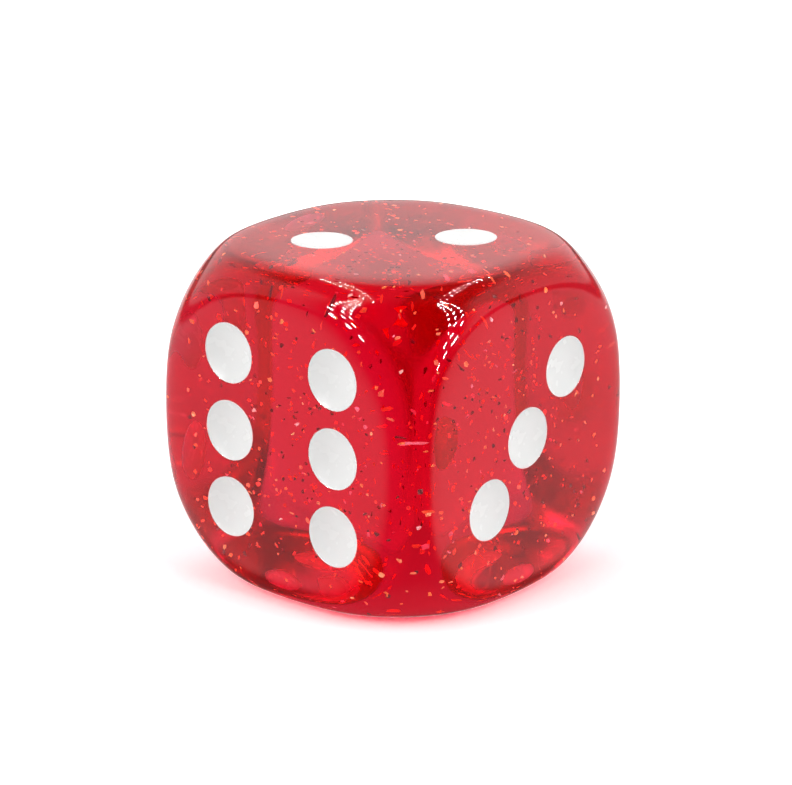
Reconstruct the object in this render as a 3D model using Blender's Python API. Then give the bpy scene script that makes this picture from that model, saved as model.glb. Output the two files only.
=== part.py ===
"""A six-sided die: a rounded block of clear red resin with a white paint fill in each pip.

The die stands on its five, on the XY plane, with the origin under its centre and +Z up.
The six faces -Y, the three +X, the two +Z, the one +Y, the four -X and the five -Z.
Run it with: blender --background --python part.py
"""

import math

import bmesh
import bpy
import numpy as np
from mathutils import Matrix, Vector

MM = 0.001

# Block, in millimetres
EDGE = 16.0                  # from one face to the opposite face
CORNER_SPHERE_RADIUS = 11.16  # the sphere that all eight corners are cut to
EDGE_BLEND = 2.1             # two neighbouring faces ease into each other over this width
CORNER_BLEND = 1.26          # a face eases into a corner over this width

# Pips, in millimetres
DIMPLE_MOUTH = 1.48          # radius of a dimple at the face
DIMPLE_DEPTH = 0.36          # from the face to the bottom of a dimple
PAINT_THICKNESS = 0.12       # at the middle of a pip
PAINT_EDGE = 0.02            # thickness of the paint at its rim
PAINT_CLEARANCE = 0.01       # between the paint and the resin under it
PAINT_LIP = 0.01             # the paint's rim stands this far below the face
TWO_OFFSET = 2.37            # pips of the two, from the face's centre lines
SQUARE_OFFSET = 2.75         # outer pips of the three, four and five, likewise
SIX_COLUMN = 3.14            # columns of the six, from the centre line
SIX_ROW = 3.72               # outer rows of the six, from the centre line

# Fineness of the faceting
FLAT_STEPS = 5               # grid lines from a face's centre to where its edge begins
BLEND_STEPS = 5              # grid lines across half an edge
EDGE_START = 0.7             # where the finer lines begin, as a share of half the die
PIP_SEGMENTS = 20
DIMPLE_RINGS = 3
PAINT_RINGS = 2
SURFACE_SEARCH_STEPS = 40    # halvings in the search for the surface

HALF = EDGE / 2

SQUARE = [(-SQUARE_OFFSET, -SQUARE_OFFSET), (SQUARE_OFFSET, SQUARE_OFFSET),
          (-SQUARE_OFFSET, SQUARE_OFFSET), (SQUARE_OFFSET, -SQUARE_OFFSET)]
MIDDLE = [(0, 0)]

# Each face: its name, its outward direction, its direction to the right as seen from outside,
# and its pips as (right, up) in millimetres from the middle of the face.
FACES = [
    ("one", (0, 1, 0), (-1, 0, 0), MIDDLE),
    ("two", (0, 0, 1), (1, 0, 0), [(-TWO_OFFSET, -TWO_OFFSET), (TWO_OFFSET, TWO_OFFSET)]),
    ("three", (1, 0, 0), (0, 1, 0), MIDDLE + SQUARE[:2]),
    ("four", (-1, 0, 0), (0, -1, 0), SQUARE),
    ("five", (0, 0, -1), (1, 0, 0), MIDDLE + SQUARE),
    ("six", (0, -1, 0), (1, 0, 0),
     [(side * SIX_COLUMN, row * SIX_ROW) for side in (-1, 1) for row in (1, 0, -1)]),
]


def clear_scene():
    for old in list(bpy.data.objects):
        bpy.data.objects.remove(old)


def make_material(name, colour, roughness, transmission=0.0):
    material = bpy.data.materials.new(name)
    material.use_nodes = True
    shader = material.node_tree.nodes["Principled BSDF"]
    shader.inputs["Base Color"].default_value = (*colour, 1.0)
    shader.inputs["Roughness"].default_value = roughness
    shader.inputs["Metallic"].default_value = 0.0
    shader.inputs["Transmission Weight"].default_value = transmission
    return material


def add_object(name, mesh, material, parent):
    piece = bpy.data.objects.new(name, mesh)
    if material:
        mesh.materials.clear()
        mesh.materials.append(material)
    piece.parent = parent
    bpy.context.scene.collection.objects.link(piece)
    return piece


# ---- Block ----

def smooth_max(a, b, width):
    """The larger of a and b, with the corner between them eased where they differ by less than width."""
    ease = np.maximum(width - np.abs(a - b), 0) / width
    return np.maximum(a, b) + ease ** 3 * width / 6


def outside_block(points):
    """Below zero inside the rounded block and above zero outside it."""
    low, middle, high = np.sort(np.abs(points), axis=1).T
    faces = smooth_max(smooth_max(high, middle, EDGE_BLEND), low, EDGE_BLEND) - HALF
    corners = np.linalg.norm(points, axis=1) - CORNER_SPHERE_RADIUS
    return smooth_max(faces, corners, CORNER_BLEND)


def on_block_surface(directions):
    """The points where lines from the block's centre leave it, found by halving."""
    inner = np.zeros(len(directions))
    outer = np.full(len(directions), EDGE)
    for _ in range(SURFACE_SEARCH_STEPS):
        middle = (inner + outer) / 2
        outside = outside_block(directions * middle[:, None]) > 0
        outer = np.where(outside, middle, outer)
        inner = np.where(outside, inner, middle)
    return directions * inner[:, None]


def grid_spacing():
    """Grid lines from -1 to 1 across a face, closer together over the rounded edges."""
    flat = np.linspace(0, EDGE_START, FLAT_STEPS + 1)
    edge = np.linspace(EDGE_START, 1, BLEND_STEPS + 1)[1:]
    right = np.concatenate([flat, edge])
    return np.concatenate([-right[:0:-1], right])


def make_block_mesh():
    """A gridded cube pushed out or in to the rounded block, with each flat joined into one face."""
    spacing = grid_spacing()
    cells = len(spacing) - 1
    bm = bmesh.new()
    for _, outward, right, _ in FACES:
        normal = Vector(outward)
        across = Vector(right)
        facing = Matrix((across, normal.cross(across), normal)).transposed().to_4x4()
        bmesh.ops.create_grid(bm, x_segments=cells, y_segments=cells, size=1,
                              matrix=facing @ Matrix.Translation((0, 0, 1)))
    bmesh.ops.remove_doubles(bm, verts=bm.verts, dist=1e-5)

    even = np.linspace(-1, 1, cells + 1)
    cube = np.interp([vertex.co for vertex in bm.verts], even, spacing)
    directions = cube / np.linalg.norm(cube, axis=1)[:, None]
    surface = on_block_surface(directions)
    flat_by = 1e-6
    surface = np.where(np.abs(surface) > HALF - flat_by, np.sign(surface) * HALF, surface)
    for vertex, point in zip(bm.verts, surface):
        vertex.co = point * MM

    for _, outward, _, _ in FACES:
        reach = np.float32(HALF * MM)
        flat = [face for face in bm.faces
                if all(vertex.co.dot(Vector(outward)) == reach for vertex in face.verts)]
        bmesh.ops.dissolve_faces(bm, faces=flat, use_verts=True)

    mesh = bpy.data.meshes.new("resin_body")
    bm.to_mesh(mesh)
    bm.free()
    mesh.shade_smooth()
    return mesh


# ---- Pips ----

def sphere_through(mouth, depth):
    """The radius of the sphere of which a bowl of this mouth radius and depth is a part."""
    return (mouth ** 2 + depth ** 2) / (2 * depth)


def bowl(radius, mouth, rim_height, rings):
    """The profile of a bowl that is part of a sphere, from its rim to its lowest point on the axis."""
    half_angle = math.asin(mouth / radius)
    centre = rim_height + radius * math.cos(half_angle)
    angles = [half_angle * (1 - ring / rings) for ring in range(rings + 1)]
    return [(radius * math.sin(angle), centre - radius * math.cos(angle)) for angle in angles]


def turned_mesh(name, profile):
    """Turns an open profile of (radius, height) points, both ends on the axis, about Z."""
    bm = bmesh.new()
    points = [bm.verts.new((radius * MM, 0, height * MM)) for radius, height in profile]
    edges = [bm.edges.new(pair) for pair in zip(points, points[1:])]
    bmesh.ops.spin(bm, geom=points + edges, cent=(0, 0, 0), axis=(0, 0, 1),
                   angle=math.tau, steps=PIP_SEGMENTS, use_merge=True)
    bmesh.ops.remove_doubles(bm, verts=bm.verts, dist=1e-6 * MM)
    bmesh.ops.recalc_face_normals(bm, faces=bm.faces)
    mesh = bpy.data.meshes.new(name)
    bm.to_mesh(mesh)
    bm.free()
    mesh.shade_smooth()
    mesh.set_sharp_from_angle(angle=math.radians(40))
    return mesh


def make_dimple_cutter_mesh():
    """The bowl of a dimple, with a straight plug above it that reaches out of the face."""
    plug = [(0, DIMPLE_DEPTH), (DIMPLE_MOUTH, DIMPLE_DEPTH)]
    radius = sphere_through(DIMPLE_MOUTH, DIMPLE_DEPTH)
    return turned_mesh("dimple_cutter", plug + bowl(radius, DIMPLE_MOUTH, 0, DIMPLE_RINGS))


def make_paint_mesh():
    """A thin cup of paint that lines a dimple, with its own, shallower bowl on top."""
    resin_radius = sphere_through(DIMPLE_MOUTH, DIMPLE_DEPTH)
    under_radius = resin_radius - PAINT_CLEARANCE
    under_rim = -(PAINT_LIP + PAINT_EDGE)
    centre = resin_radius - DIMPLE_DEPTH
    mouth = math.sqrt(under_radius ** 2 - (centre - under_rim) ** 2)
    under = bowl(under_radius, mouth, under_rim, DIMPLE_RINGS)
    hollow = DIMPLE_DEPTH - PAINT_CLEARANCE - PAINT_THICKNESS - PAINT_LIP
    top = bowl(sphere_through(mouth, hollow), mouth, -PAINT_LIP, PAINT_RINGS)
    return turned_mesh("pip_paint", top[::-1] + under)


def pip_places():
    """(name, placement) of each pip, where the placement's Z axis points out of the face."""
    for face, outward, right, pips in FACES:
        normal = Vector(outward)
        across = Vector(right)
        up = normal.cross(across)
        for number, (along, above) in enumerate(pips, start=1):
            turn = Matrix((across, up, normal)).transposed().to_4x4()
            centre = normal * HALF + across * along + up * above
            yield f"{face}_pip_{number}", Matrix.Translation(centre * MM) @ turn


# ---- Assembly ----

def cut_dimples(block, parent):
    """One cutter for each pip, all in one mesh, taken out of the block."""
    cutter_mesh = make_dimple_cutter_mesh()
    bm = bmesh.new()
    for _, place in pip_places():
        start = len(bm.verts)
        bm.from_mesh(cutter_mesh)
        bm.verts.ensure_lookup_table()
        bmesh.ops.transform(bm, matrix=place, verts=bm.verts[start:])
    all_cutters = bpy.data.meshes.new("dimple_cutters")
    bm.to_mesh(all_cutters)
    bm.free()
    bpy.data.meshes.remove(cutter_mesh)

    cutter = add_object("dimple_cutters", all_cutters, None, parent)
    cutter.hide_render = True
    cutter.display_type = "WIRE"
    cut = block.modifiers.new("Dimples", "BOOLEAN")
    cut.operation = "DIFFERENCE"
    cut.solver = "EXACT"
    cut.object = cutter


def build_die():
    clear_scene()
    resin = make_material("clear_red_resin", (0.70, 0.008, 0.03), roughness=0.05, transmission=0.9)
    paint = make_material("white_paint", (0.87, 0.87, 0.85), roughness=0.3)

    centre = bpy.data.objects.new("die_centre", None)
    centre.location = (0, 0, HALF * MM)
    bpy.context.scene.collection.objects.link(centre)

    block = add_object("resin_body", make_block_mesh(), resin, centre)
    cut_dimples(block, centre)

    paint_mesh = make_paint_mesh()
    for name, place in pip_places():
        fill = add_object(name, paint_mesh, paint, centre)
        fill.matrix_local = place


build_die()
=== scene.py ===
import math
import random

import bmesh
import bpy
import numpy as np
from mathutils import Matrix, Vector
from mathutils.geometry import delaunay_2d_cdt


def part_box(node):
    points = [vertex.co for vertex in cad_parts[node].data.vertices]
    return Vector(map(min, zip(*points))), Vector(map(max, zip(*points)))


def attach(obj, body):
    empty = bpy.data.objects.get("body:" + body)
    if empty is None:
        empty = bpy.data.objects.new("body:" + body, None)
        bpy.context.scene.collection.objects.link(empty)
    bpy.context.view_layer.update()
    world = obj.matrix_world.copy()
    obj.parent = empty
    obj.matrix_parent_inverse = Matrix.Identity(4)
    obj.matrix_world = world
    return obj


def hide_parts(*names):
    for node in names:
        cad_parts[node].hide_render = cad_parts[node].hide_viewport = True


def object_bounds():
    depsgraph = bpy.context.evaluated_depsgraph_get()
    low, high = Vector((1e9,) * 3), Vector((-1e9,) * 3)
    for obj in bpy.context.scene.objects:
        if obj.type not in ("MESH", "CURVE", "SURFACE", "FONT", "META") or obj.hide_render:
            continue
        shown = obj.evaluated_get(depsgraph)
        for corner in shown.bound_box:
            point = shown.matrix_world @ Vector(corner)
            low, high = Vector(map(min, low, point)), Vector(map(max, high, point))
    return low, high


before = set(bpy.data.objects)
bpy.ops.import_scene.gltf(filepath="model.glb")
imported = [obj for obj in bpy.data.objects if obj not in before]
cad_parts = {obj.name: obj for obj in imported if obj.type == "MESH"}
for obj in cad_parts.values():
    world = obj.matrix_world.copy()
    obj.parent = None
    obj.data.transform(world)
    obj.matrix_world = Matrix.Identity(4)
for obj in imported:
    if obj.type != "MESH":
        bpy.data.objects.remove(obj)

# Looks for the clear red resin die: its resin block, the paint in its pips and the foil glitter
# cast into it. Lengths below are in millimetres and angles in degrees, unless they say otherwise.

CAD_LOW, CAD_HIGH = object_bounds()

MM = 0.001

# Block, as in the CAD model
CORNER_SPHERE_RADIUS = 11.16   # the sphere that all eight corners are cut to
EDGE_BLEND = 2.1               # two neighbouring faces ease into each other over this width
CORNER_BLEND = 1.26            # a face eases into a corner over this width

# Pips
DIMPLE_MOUTH = 1.45            # radius at which the bowl would meet the face if its rim were sharp
DIMPLE_DEPTH = 0.36
RIM_ROUNDING = 0.08            # radius of the polished rim of a dimple
PAINT_RADIUS = 1.425           # radius of the white disc
PAINT_THICKNESS = 0.10         # at the middle of a pip
PAINT_SOAK = 0.012             # how far it reaches under the resin's surface, so no gap shows
PAINT_SHARP_ANGLE = 50.0       # its rim stays crisp, and its top is smooth

# Fineness of the meshes
FLAT_STEPS = 14                # grid lines from a face's middle to where its edge begins
BLEND_STEPS = 22               # grid lines across half an edge
EDGE_START = 0.68              # where the finer lines begin, as a share of half the die
RING_SEGMENTS = 72
RIM_BORDERS = (0.06, 0.02)     # flat rings laid this far outside the rim of a dimple
RIM_STEPS = 5
BOWL_RINGS = 14
GRID_CLEARANCE = 0.1           # kept free between those rings and the grid
SEARCH_STEPS = 40              # halvings in the search for the surface

# Glitter
FLAKE_COUNT = 950
FLAKE_RADIUS = (0.05, 0.15)    # smallest and largest
FLAKE_THICKNESS = 0.04
FLAKE_CREASE = 0.3             # how far its corners bend out of flat, as a part of its radius
FLAKE_MARGIN = 0.22            # kept between a flake's middle and the surface
FLAKE_SIDES = (4, 5, 6, 6, 7)
FLAKE_REACH = (0.75, 1.1)      # a corner's distance from the middle, as a part of the radius
FLAKE_SKEW = 0.25              # how far a corner strays round the flake, as a part of a side
GLITTER_SEED = 11

# Dye in the resin: how much of each colour it takes, per metre
DYE_RED = 11.0
DYE_GREEN = 300.0
DYE_BLUE = 200.0
INNER_HAZE = 0.18              # roughness of the surface as light meets it from inside

# Foils of the glitter: where each starts on a scale from 0 to 1, and its colour
FOILS = (
    (0.0, (1.0, 0.38, 0.12)),
    (0.4, (1.0, 0.58, 0.26)),
    (0.68, (1.0, 0.86, 0.75)),
    (0.78, (0.2, 0.08, 0.07)),
)
FOIL_PAINTED_GLINT = 0.35            # painted glints: a glow in each flake's colour that stands for the glints of lamps too small to catch

# Camera and light
CAMERA_AZIMUTH = 40.2
CAMERA_ELEVATION = 18.3
CAMERA_DISTANCE = 160.0
CAMERA_LENS = 154.5
SENSOR_WIDTH = 36.0
AIM_RIGHT = 0.09               # where the camera aims, from the die's centre
AIM_UP = 0.46
FLOOR_RADIUS = 3000.0
FLOOR_SEGMENTS = 64
FLOOR_GAP = 0.02               # between the die and the floor, which would otherwise touch
FLOOR_GLARE = 1.85             # the floor is overexposed, as in a packshot
LAMP_GLOW = 80.0
POST_GLOW_HEIGHT = 100.0       # the lamps' light on the die comes from round this height
LAMP_RADIUS = 3.8
LAMP_SEGMENTS = 12
LAMP_PITCH = 31.0              # from one lamp to the next along a row
POST_ROW_SPACING = 19.0        # between the rows of a post
LAMP_SIDE = 122.0              # from the die to the posts, sideways as the camera sees it
LAMP_FRONT = 73.0              # the posts stand this far in front of the die
LAMP_HEIGHT = 330.0            # of the ceiling rows over the die
CEILING_SIDES = (-82.0, 130.0)  # from the die to the left and right ceiling rows
CEILING_ROW_SPACING = 24.0
CEILING_PITCH = 42.0
CEILING_LAMPS = 10             # in each ceiling row

# Soft light of the tent, where 1 is plain white
TENT_LOW = 0.66                # from its walls, at the height of the floor
TENT_HIGH = 0.93               # from straight above
TENT_OPENING = 0.06            # the part of it left where the tent opens towards the camera
POST_LIGHT = 4.3               # added round the two posts
POST_EDGES = (0.9, 0.98)       # cosines of the angles where that ends and where it is full

# What the polish reflects of the tent, on the same scale
WALL_SHEEN = 0.68
BACK_SHEEN = 0.24              # added to it on the back wall
CEILING_SHEEN = 0.1            # the part of the walls' sheen left overhead
GROUND_SHEEN = 0.1             # and the part left straight down
SKIRTING_SHEEN = 0.15          # and the part left along the dark line where walls meet floor
FLOOR_SHEEN = 0.05

BOUNCES_IN_RESIN = 32

CENTRE = (CAD_LOW + CAD_HIGH) / 2
HALF = (CAD_HIGH.z - CAD_LOW.z) / 2 / MM

FACES = {
    "one": ((0, 1, 0), (-1, 0, 0)),
    "two": ((0, 0, 1), (1, 0, 0)),
    "three": ((1, 0, 0), (0, 1, 0)),
    "four": ((-1, 0, 0), (0, -1, 0)),
    "five": ((0, 0, -1), (1, 0, 0)),
    "six": ((0, -1, 0), (1, 0, 0)),
}


# ---- Shape of the block ----

def smooth_max(a, b, width):
    """The larger of a and b, with the corner between them eased over width."""
    ease = np.maximum(width - np.abs(a - b), 0) / width
    return np.maximum(a, b) + ease ** 3 * width / 6


def outside_block(points):
    """Below zero inside the rounded block and above zero outside it, in millimetres."""
    low, middle, high = np.sort(np.abs(points), axis=1).T
    faces = smooth_max(smooth_max(high, middle, EDGE_BLEND), low, EDGE_BLEND) - HALF
    corners = np.linalg.norm(points, axis=1) - CORNER_SPHERE_RADIUS
    return smooth_max(faces, corners, CORNER_BLEND)


def on_block_surface(directions):
    """The points where lines from the block's centre leave it."""
    inner = np.zeros(len(directions))
    outer = np.full(len(directions), 2 * HALF)
    for _ in range(SEARCH_STEPS):
        middle = (inner + outer) / 2
        outside = outside_block(directions * middle[:, None]) > 0
        outer = np.where(outside, middle, outer)
        inner = np.where(outside, inner, middle)
    return directions * inner[:, None]


def face_matrix(face):
    """Turns face coordinates (right, up, outwards) into the row frame's directions."""
    outward, right = (Vector(v) for v in FACES[face])
    return Matrix((right, outward.cross(right), outward)).transposed()


def pips_of(face):
    """The (right, up) places in millimetres of the CAD model's pips on a face."""
    turn = face_matrix(face).transposed()
    places = []
    for node in sorted(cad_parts):
        if node.startswith(face + "_pip_"):
            low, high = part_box(node)
            place = turn @ ((low + high) / 2 - CENTRE) / MM
            places.append((place.x, place.y))
    return places


def sphere_through(mouth, depth):
    return (mouth ** 2 + depth ** 2) / (2 * depth)


def bowl_height(radius):
    """Height of the resin's bowl at a distance from its axis, below the face."""
    ball = sphere_through(DIMPLE_MOUTH, DIMPLE_DEPTH)
    return ball - DIMPLE_DEPTH - math.sqrt(ball ** 2 - radius ** 2)


def dimple_rings():
    """(radius, height) of a dimple's rings: flat, round the rim, then down the bowl."""
    ball = sphere_through(DIMPLE_MOUTH, DIMPLE_DEPTH)
    slope = math.asin(DIMPLE_MOUTH / ball)
    reach = RIM_ROUNDING * math.tan(slope / 2)
    rings = [(DIMPLE_MOUTH + reach + border, 0.0) for border in RIM_BORDERS]
    for step in range(RIM_STEPS + 1):
        angle = slope * step / RIM_STEPS
        rings.append((DIMPLE_MOUTH + reach - RIM_ROUNDING * math.sin(angle),
                      -RIM_ROUNDING * (1 - math.cos(angle))))
    start = rings[-1][0]
    for step in range(1, BOWL_RINGS):
        radius = start * math.sin(math.pi / 2 * (1 - step / BOWL_RINGS))
        rings.append((radius, bowl_height(radius)))
    return rings


def grid_spacing():
    flat = np.linspace(0, EDGE_START, FLAT_STEPS + 1)
    edge = np.linspace(EDGE_START, 1, BLEND_STEPS + 1)[1:]
    right = np.concatenate([flat, edge])
    return np.concatenate([-right[:0:-1], right]) * HALF


def circle(place, radius):
    angles = [math.tau * i / RING_SEGMENTS for i in range(RING_SEGMENTS)]
    return [(place[0] + radius * math.cos(a), place[1] + radius * math.sin(a)) for a in angles]


def join_rings(rings):
    """The faces from each ring of corners to the next."""
    faces = []
    for outer, inner in zip(rings, rings[1:]):
        for i in range(RING_SEGMENTS):
            j = (i + 1) % RING_SEGMENTS
            faces.append((outer[i], outer[j], inner[j], inner[i]))
    return faces


def close_ring(ring, middle):
    return [(ring[i], ring[(i + 1) % RING_SEGMENTS], middle) for i in range(RING_SEGMENTS)]


def add_face(bm, face):
    """One face of the block, with its dimples, over its sixth of the block's surface."""
    rings = dimple_rings()
    outer_radius = rings[0][0]
    pips = pips_of(face)
    lines = grid_spacing()
    clear = outer_radius + GRID_CLEARANCE
    flat_points = [(x, y) for x in lines for y in lines
                   if all(math.hypot(x - px, y - py) > clear for px, py in pips)]
    for pip in pips:
        flat_points += circle(pip, outer_radius)
    found = delaunay_2d_cdt([Vector(p) for p in flat_points], [], [], 0, 1e-7)
    plane, triangles = found[0], found[2]
    inside = outer_radius * math.cos(math.pi / RING_SEGMENTS) - 1e-4

    heights = [0.0] * len(plane)
    points = [tuple(p) for p in plane]
    faces = []
    for triangle in triangles:
        x = sum(plane[i].x for i in triangle) / 3
        y = sum(plane[i].y for i in triangle) / 3
        if all(math.hypot(x - px, y - py) > inside for px, py in pips):
            faces.append(tuple(triangle))
    for pip in pips:
        loops = []
        for radius, height in rings:
            loops.append(range(len(points), len(points) + RING_SEGMENTS))
            points += circle(pip, radius)
            heights += [height] * RING_SEGMENTS
        middle = len(points)
        points.append(pip)
        heights.append(-DIMPLE_DEPTH)
        faces += join_rings(loops) + close_ring(loops[-1], middle)

    turn = np.array(face_matrix(face))
    cube = np.column_stack([np.array(points), np.full(len(points), HALF)])
    directions = cube / np.linalg.norm(cube, axis=1)[:, None]
    surface = on_block_surface(directions)
    surface[:, 2] += heights
    placed = surface @ turn.T * MM + np.array(CENTRE)
    corners = [bm.verts.new(p) for p in placed]
    for triangle in faces:
        bm.faces.new([corners[i] for i in triangle])


def link(name, mesh):
    piece = bpy.data.objects.new(name, mesh)
    bpy.context.scene.collection.objects.link(piece)
    return piece


def make_body():
    bm = bmesh.new()
    for face in FACES:
        add_face(bm, face)
    bmesh.ops.remove_doubles(bm, verts=bm.verts, dist=1e-7)
    bmesh.ops.recalc_face_normals(bm, faces=bm.faces)
    mesh = bpy.data.meshes.new("die_body")
    bm.to_mesh(mesh)
    bm.free()
    mesh.shade_smooth()
    return link("die_body", mesh)


# ---- Pips ----

def paint_profile():
    """(radius, height) round the paint's section: over its hollow top and back under it."""
    edge = bowl_height(PAINT_RADIUS)
    hollow = DIMPLE_DEPTH - PAINT_THICKNESS + edge
    ball = sphere_through(PAINT_RADIUS, hollow)
    buried = PAINT_RADIUS + PAINT_SOAK
    steps = [buried * math.sin(math.pi / 2 * i / BOWL_RINGS) for i in range(BOWL_RINGS + 1)]
    centre = edge + math.sqrt(ball ** 2 - PAINT_RADIUS ** 2)
    top = [(r, centre - math.sqrt(ball ** 2 - r ** 2)) for r in steps]
    under = [(r, bowl_height(r) - PAINT_SOAK) for r in reversed(steps)]
    return top + under


def make_paint_mesh():
    """The paint's section turned round the axis of its dimple."""
    profile = paint_profile()
    bm = bmesh.new()
    rings = [[bm.verts.new((x * MM, y * MM, height * MM)) for x, y in circle((0, 0), radius)]
             for radius, height in profile[1:-1]]
    top, under = [bm.verts.new((0, 0, height * MM)) for _, height in (profile[0], profile[-1])]
    faces = close_ring(rings[0], top) + join_rings(rings) + close_ring(rings[-1], under)
    for corners in faces:
        bm.faces.new(corners)
    bmesh.ops.recalc_face_normals(bm, faces=bm.faces)
    mesh = bpy.data.meshes.new("pip_paint")
    bm.to_mesh(mesh)
    bm.free()
    mesh.shade_smooth()
    mesh.set_sharp_from_angle(angle=math.radians(PAINT_SHARP_ANGLE))
    return mesh


def add_pips(material):
    mesh = make_paint_mesh()
    mesh.materials.append(material)
    for face in FACES:
        turn = face_matrix(face)
        for number, (right, up) in enumerate(pips_of(face), start=1):
            node = f"{face}_pip_{number}"
            piece = link("paint_" + node, mesh)
            place = CENTRE + turn @ Vector((right, up, HALF)) * MM
            piece.matrix_world = Matrix.Translation(place) @ turn.to_4x4()
            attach(piece, "root")
            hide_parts(node)


# ---- Glitter ----

def clear_of_pips(spot):
    """Whether a spot in the block is beside or well below every dimple."""
    for face in FACES:
        right, up, height = face_matrix(face).transposed() @ spot
        if HALF - height < DIMPLE_DEPTH + FLAKE_MARGIN:
            reach = DIMPLE_MOUTH + FLAKE_MARGIN
            if any(math.hypot(right - x, up - y) < reach for x, y in pips_of(face)):
                return False
    return True


def flake_outline(rng):
    """The corners of one crumpled flake of foil, and the height of its middle."""
    sides = rng.choice(FLAKE_SIDES)
    radius = FLAKE_RADIUS[0] + (FLAKE_RADIUS[1] - FLAKE_RADIUS[0]) * rng.random()
    corners = []
    for i in range(sides):
        angle = math.tau * (i + rng.uniform(-FLAKE_SKEW, FLAKE_SKEW)) / sides
        reach = radius * rng.uniform(*FLAKE_REACH)
        corners.append(Vector((reach * math.cos(angle), reach * math.sin(angle),
                               radius * rng.uniform(-FLAKE_CREASE, FLAKE_CREASE))))
    return corners, Vector((0, 0, radius * rng.uniform(-FLAKE_CREASE, FLAKE_CREASE)))


def add_flake(bm, rng, spot):
    corners, middle = flake_outline(rng)
    axis = Vector([rng.gauss(0, 1) for _ in range(3)]).normalized()
    turn = axis.to_track_quat("Z", "Y").to_matrix()
    sides = []
    for height in (FLAKE_THICKNESS / 2, -FLAKE_THICKNESS / 2):
        lift = Vector((0, 0, height))
        points = [CENTRE + (spot + turn @ (point + lift)) * MM for point in corners + [middle]]
        sides.append([bm.verts.new(point) for point in points])
    top, under = sides
    count = len(corners)
    for i in range(count):
        j = (i + 1) % count
        bm.faces.new((top[i], top[j], top[count]))
        bm.faces.new((under[j], under[i], under[count]))
        bm.faces.new((top[j], top[i], under[i], under[j]))


def make_glitter(material):
    rng = random.Random(GLITTER_SEED)
    reach = HALF - FLAKE_MARGIN
    bm = bmesh.new()
    placed = 0
    while placed < FLAKE_COUNT:
        spot = Vector([rng.uniform(-reach, reach) for _ in range(3)])
        if outside_block(np.array([spot]))[0] < -FLAKE_MARGIN and clear_of_pips(spot):
            add_flake(bm, rng, spot)
            placed += 1
    mesh = bpy.data.meshes.new("glitter_flakes")
    bm.to_mesh(mesh)
    bm.free()
    mesh.materials.append(material)
    piece = link("glitter_flakes", mesh)
    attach(piece, "root")


# ---- Materials ----

def new_material(name):
    material = bpy.data.materials.new(name)
    material.use_nodes = True
    tree = material.node_tree
    return material, tree, tree.nodes["Principled BSDF"]


def add_noise(tree, scale, detail=2.0):
    """Noise over the piece's own coordinates, in metres; scale is in features per metre."""
    place = tree.nodes.new("ShaderNodeTexCoord")
    noise = tree.nodes.new("ShaderNodeTexNoise")
    noise.inputs["Scale"].default_value = scale
    noise.inputs["Detail"].default_value = detail
    tree.links.new(place.outputs["Object"], noise.inputs["Vector"])
    return noise.outputs["Fac"]


def add_range(tree, value, before, after, kind="LINEAR"):
    node = tree.nodes.new("ShaderNodeMapRange")
    node.interpolation_type = kind
    for name, number in zip(("From Min", "From Max", "To Min", "To Max"), before + after):
        node.inputs[name].default_value = number
    tree.links.new(value, node.inputs["Value"])
    return node.outputs["Result"]


def add_math(tree, operation, first, second):
    node = tree.nodes.new("ShaderNodeMath")
    node.operation = operation
    for value, socket in zip((first, second), node.inputs):
        if isinstance(value, (int, float)):
            socket.default_value = value
        else:
            tree.links.new(value, socket)
    return node.outputs["Value"]


def add_mix(tree, factor, first, second):
    """A blend of two greys or colours; factor is a socket."""
    node = tree.nodes.new("ShaderNodeMix")
    node.data_type = "RGBA"
    node.inputs["A"].default_value = (*first, 1)
    node.inputs["B"].default_value = (*second, 1)
    tree.links.new(factor, node.inputs["Factor"])
    return node.outputs["Result"]


def add_bump(tree, shader, height, distance, strength):
    bump = tree.nodes.new("ShaderNodeBump")
    bump.inputs["Distance"].default_value = distance * MM
    bump.inputs["Strength"].default_value = strength
    tree.links.new(height, bump.inputs["Height"])
    tree.links.new(bump.outputs["Normal"], shader.inputs["Normal"])


def resin_material():
    """Polished clear resin; the dye takes blue and green out of the light along its path."""
    material, tree, shader = new_material("polished_red_resin")
    shader.inputs["Base Color"].default_value = (1, 1, 1, 1)
    shader.inputs["Transmission Weight"].default_value = 1.0
    shader.inputs["Roughness"].default_value = 0.02
    shader.inputs["IOR"].default_value = 1.5
    polish = add_range(tree, add_noise(tree, 350, 3), (0.3, 0.7), (0.0, 0.03))
    inside = tree.nodes.new("ShaderNodeNewGeometry").outputs["Backfacing"]
    haze = add_range(tree, inside, (0, 1), (0.0, INNER_HAZE))
    tree.links.new(add_math(tree, "ADD", polish, haze), shader.inputs["Roughness"])
    add_bump(tree, shader, add_noise(tree, 900, 2), 0.002, 0.5)
    dye = tree.nodes.new("ShaderNodeVolumeAbsorption")
    kept = (1 - taken / DYE_GREEN for taken in (DYE_RED, DYE_GREEN, DYE_BLUE))
    dye.inputs["Color"].default_value = (*kept, 1)
    dye.inputs["Density"].default_value = DYE_GREEN
    tree.links.new(dye.outputs["Volume"], tree.nodes["Material Output"].inputs["Volume"])
    return material


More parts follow.
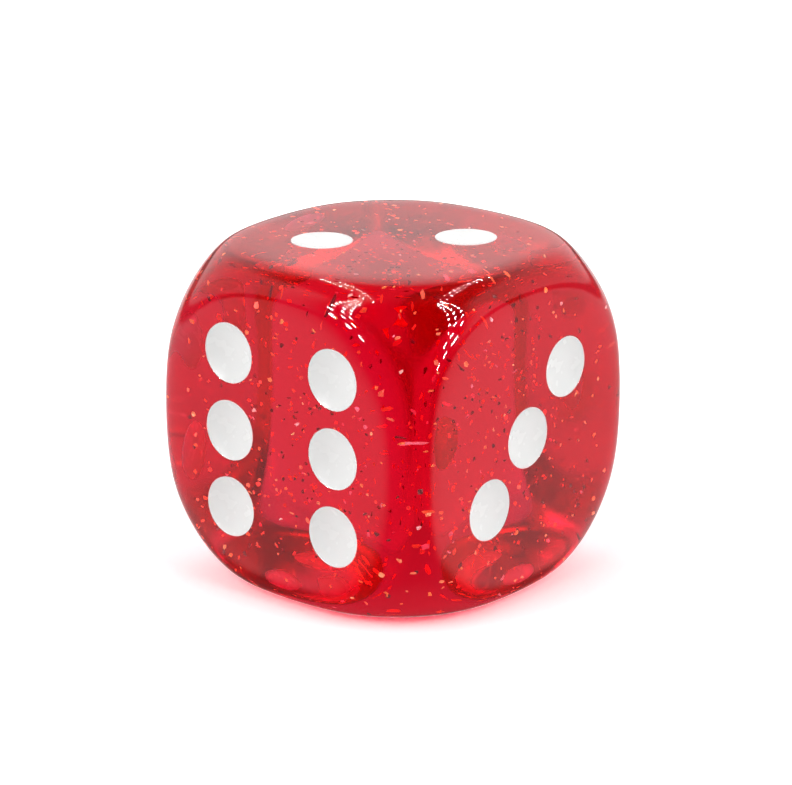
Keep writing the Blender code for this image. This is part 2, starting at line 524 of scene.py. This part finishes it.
def paint_material():
    """White enamel with a faint orange peel and a few specks of dust."""
    material, tree, shader = new_material("white_enamel")
    place = tree.nodes.new("ShaderNodeTexCoord")
    cells = tree.nodes.new("ShaderNodeTexVoronoi")
    cells.inputs["Scale"].default_value = 1600
    tree.links.new(place.outputs["Object"], cells.inputs["Vector"])
    pick = tree.nodes.new("ShaderNodeSeparateColor")
    tree.links.new(cells.outputs["Color"], pick.inputs["Color"])
    near = add_range(tree, cells.outputs["Distance"], (0.10, 0.16), (1.0, 0.0))
    rare = add_range(tree, pick.outputs["Red"], (0.94, 0.95), (0.0, 1.0))
    speck = add_math(tree, "MULTIPLY", near, rare)
    tint = add_mix(tree, speck, (0.9, 0.9, 0.89), (0.35, 0.34, 0.34))
    tree.links.new(tint, shader.inputs["Base Color"])
    gloss = add_noise(tree, 1500, 2)
    tree.links.new(add_range(tree, gloss, (0.3, 0.7), (0.22, 0.3)), shader.inputs["Roughness"])
    add_bump(tree, shader, add_noise(tree, 2500, 2), 0.002, 0.1)
    return material


def glitter_material():
    """Foil flakes: copper, gold, silver or dark, each flake one of them, with a faint glow in its
    own colour that is a painted glint.
    """
    material, tree, shader = new_material("foil_glitter")
    shader.inputs["Metallic"].default_value = 1.0
    geometry = tree.nodes.new("ShaderNodeNewGeometry")
    ramp = tree.nodes.new("ShaderNodeValToRGB")
    ramp.color_ramp.interpolation = "CONSTANT"
    stops = ramp.color_ramp.elements
    while len(stops) < len(FOILS):
        stops.new(1.0)
    for stop, (start, colour) in zip(stops, FOILS):
        stop.position = start
        stop.color = (*colour, 1)
    tree.links.new(geometry.outputs["Random Per Island"], ramp.inputs["Fac"])
    tree.links.new(ramp.outputs["Color"], shader.inputs["Base Color"])
    # The flakes glow faintly in their own foil colours: painted glints.
    tree.links.new(ramp.outputs["Color"], shader.inputs["Emission Color"])
    shader.inputs["Emission Strength"].default_value = FOIL_PAINTED_GLINT
    material.cycles.emission_sampling = "NONE"
    wear = add_noise(tree, 6000, 1)
    tree.links.new(add_range(tree, wear, (0.3, 0.7), (0.4, 0.6)), shader.inputs["Roughness"])
    add_bump(tree, shader, add_noise(tree, 9000, 1), 0.01, 0.5)
    return material


def floor_material():
    """Pale matt paper, which the camera sees brighter than the die does."""
    material, tree, shader = new_material("pale_floor")
    shader.inputs["Specular IOR Level"].default_value = 0.1
    grain = add_noise(tree, 900, 4)
    tint = add_mix(tree, grain, (0.74, 0.74, 0.74), (0.76, 0.76, 0.76))
    glare = tree.nodes.new("ShaderNodeVectorMath")
    glare.operation = "SCALE"
    direct = tree.nodes.new("ShaderNodeLightPath").outputs["Is Camera Ray"]
    tree.links.new(tint, glare.inputs[0])
    tree.links.new(add_range(tree, direct, (0, 1), (1.0, FLOOR_GLARE)), glare.inputs["Scale"])
    tree.links.new(glare.outputs["Vector"], shader.inputs["Base Color"])
    tree.links.new(add_range(tree, grain, (0.3, 0.7), (0.8, 0.95)), shader.inputs["Roughness"])
    add_bump(tree, shader, grain, 0.01, 0.3)
    return material


def lamp_material():
    """Plain white light."""
    material, _, shader = new_material("lamp_glow")
    shader.inputs["Base Color"].default_value = (0, 0, 0, 1)
    shader.inputs["Emission Color"].default_value = (1, 1, 1, 1)
    shader.inputs["Emission Strength"].default_value = LAMP_GLOW
    return material


# ---- Studio ----

def camera_axes():
    """The directions to the camera, to the right and up, as the camera sees them."""
    azimuth = math.radians(CAMERA_AZIMUTH)
    elevation = math.radians(CAMERA_ELEVATION)
    back = Vector((math.sin(azimuth) * math.cos(elevation),
                   -math.cos(azimuth) * math.cos(elevation), math.sin(elevation)))
    right = Vector((math.cos(azimuth), math.sin(azimuth), 0))
    return back, right, back.cross(right)


def level_axes():
    """Level directions from the die towards the camera's side and to the camera's right."""
    back, right, _ = camera_axes()
    return Vector((back.x, back.y, 0)).normalized(), right


def make_camera():
    back, right, up = camera_axes()
    data = bpy.data.cameras.new("camera")
    data.lens = CAMERA_LENS
    data.sensor_width = SENSOR_WIDTH
    data.clip_start = 0.01
    data.clip_end = 20
    camera = bpy.data.objects.new("camera", data)
    bpy.context.scene.collection.objects.link(camera)
    camera.location = CENTRE + back * CAMERA_DISTANCE * MM
    aim = CENTRE + (right * AIM_RIGHT + up * AIM_UP) * MM
    camera.rotation_mode = "QUATERNION"
    camera.rotation_quaternion = (aim - camera.location).to_track_quat("-Z", "Y")
    bpy.context.scene.camera = camera


def make_floor():
    bm = bmesh.new()
    bmesh.ops.create_circle(bm, cap_ends=True, radius=FLOOR_RADIUS * MM, segments=FLOOR_SEGMENTS)
    mesh = bpy.data.meshes.new("studio_floor")
    bm.to_mesh(mesh)
    bm.free()
    mesh.materials.append(floor_material())
    floor = link("studio_floor", mesh)
    floor.location = (0, 0, CAD_LOW.z - FLOOR_GAP * MM)
    floor.visible_glossy = False


def lamp_places():
    """Lamps in rows up two posts and back over the die, as (sideways, to the front, up)."""
    posts = int(LAMP_HEIGHT / LAMP_PITCH)
    for side, ceiling_side in zip((-1, 1), CEILING_SIDES):
        for row in (-1, 0, 1):
            for i in range(1, posts + 1):
                yield (side * LAMP_SIDE, LAMP_FRONT + row * POST_ROW_SPACING, i * LAMP_PITCH)
        for row in (-0.5, 0.5):
            for i in range(CEILING_LAMPS):
                sideways = ceiling_side + row * CEILING_ROW_SPACING
                yield (sideways, LAMP_FRONT - i * CEILING_PITCH, LAMP_HEIGHT)


def make_lamps():
    """Rows of small lamps round the front of the tent, which only show as highlights."""
    front, right = level_axes()
    bm = bmesh.new()
    for sideways, forwards, height in lamp_places():
        offset = (right * sideways + front * forwards + Vector((0, 0, height))) * MM
        turn = offset.to_track_quat("Z", "Y").to_matrix().to_4x4()
        place = Matrix.Translation(CENTRE + offset) @ turn
        bmesh.ops.create_circle(bm, cap_ends=True, radius=LAMP_RADIUS * MM,
                                segments=LAMP_SEGMENTS, matrix=place)
    mesh = bpy.data.meshes.new("lamp_rows")
    bm.to_mesh(mesh)
    bm.free()
    mesh.materials.append(lamp_material())
    lamps = link("lamp_rows", mesh)
    lamps.visible_camera = False
    lamps.visible_diffuse = False
    lamps.visible_transmission = False
    lamps.visible_volume_scatter = False
    lamps.visible_shadow = False


def add_component(tree, direction):
    """How far a direction of the surroundings points along the given one, from -1 to 1."""
    place = tree.nodes.new("ShaderNodeTexCoord")
    dot = tree.nodes.new("ShaderNodeVectorMath")
    dot.operation = "DOT_PRODUCT"
    dot.inputs[1].default_value = direction
    tree.links.new(place.outputs["Generated"], dot.inputs[0])
    return dot.outputs["Value"]


def post_direction(side):
    """Towards the middle of a post's glow; side is -1 for the left post and 1 for the right."""
    front, right = level_axes()
    level = right * side * LAMP_SIDE + front * LAMP_FRONT
    return (level + Vector((0, 0, POST_GLOW_HEIGHT))).normalized()


def add_step(tree, value, edges, before, after=0.0):
    """Eases from one number to another as value, a cosine, passes between the edges."""
    return add_range(tree, value, edges, (before, after), "SMOOTHSTEP")


def tent_light(tree, front, up):
    """The soft light on the die: stronger overhead and from the posts, weak round the camera."""
    light = add_range(tree, up, (0.0, 1.0), (TENT_LOW, TENT_HIGH))
    opening = add_step(tree, front, (0.05, 0.45), 1.0, TENT_OPENING)
    light = add_math(tree, "MULTIPLY", light, opening)
    for side in (-1, 1):
        post = add_component(tree, post_direction(side))
        light = add_math(tree, "ADD", light, add_step(tree, post, POST_EDGES, 0.0, POST_LIGHT))
    return light


def tent_reflections(tree, front, up):
    """What the polish reflects: pale walls at the sides and back, a dark opening and ceiling."""
    light = add_math(tree, "ADD", add_step(tree, front, (0.05, 0.35), WALL_SHEEN),
                     add_step(tree, front, (-0.95, -0.7), BACK_SHEEN))
    from_skirting = add_math(tree, "ABSOLUTE", add_math(tree, "ADD", up, 0.03), 0)
    for part in (add_step(tree, up, (0.6, 0.8), 1.0, CEILING_SHEEN),
                 add_step(tree, up, (-0.65, -0.45), GROUND_SHEEN, 1.0),
                 add_step(tree, from_skirting, (0.03, 0.08), SKIRTING_SHEEN, 1.0)):
        light = add_math(tree, "MULTIPLY", light, part)
    return add_math(tree, "ADD", light, add_range(tree, up, (-0.5, -0.2), (FLOOR_SHEEN, 0.0)))


def make_world():
    """The tent as it lights the die, and another picture of it for the first reflection."""
    world = bpy.data.worlds.new("light_tent")
    bpy.context.scene.world = world
    world.use_nodes = True
    tree = world.node_tree
    front = add_component(tree, level_axes()[0])
    up = add_component(tree, (0, 0, 1))
    ray = tree.nodes.new("ShaderNodeLightPath")
    soft = add_math(tree, "MAXIMUM", tent_light(tree, front, up), ray.outputs["Is Camera Ray"])
    shaders = [tree.nodes["Background"], tree.nodes.new("ShaderNodeBackground")]
    for shader, light in zip(shaders, (soft, tent_reflections(tree, front, up))):
        shader.inputs["Color"].default_value = (1, 1, 1, 1)
        tree.links.new(light, shader.inputs["Strength"])
    mix = tree.nodes.new("ShaderNodeMixShader")
    first = add_range(tree, ray.outputs["Ray Depth"], (2.0, 3.0), (1.0, 0.0))
    gloss = add_math(tree, "MULTIPLY", ray.outputs["Is Glossy Ray"], first)
    tree.links.new(gloss, mix.inputs["Fac"])
    for shader, socket in zip(shaders, mix.inputs[1:]):
        tree.links.new(shader.outputs["Background"], socket)
    tree.links.new(mix.outputs["Shader"], tree.nodes["World Output"].inputs["Surface"])


def make_die():
    body = make_body()
    body.data.materials.append(resin_material())
    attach(body, "root")
    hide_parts("resin_body")
    add_pips(paint_material())
    make_glitter(glitter_material())


def set_light_bounces():
    """Enough bounces for light that the faces throw to and fro inside the resin."""
    cycles = bpy.context.scene.cycles
    cycles.max_bounces = BOUNCES_IN_RESIN
    cycles.glossy_bounces = BOUNCES_IN_RESIN
    cycles.transmission_bounces = BOUNCES_IN_RESIN
    cycles.diffuse_bounces = 8


def main():
    make_die()
    make_floor()
    make_lamps()
    make_world()
    make_camera()
    bpy.context.scene.view_settings.view_transform = "Standard"
    set_light_bounces()


main()
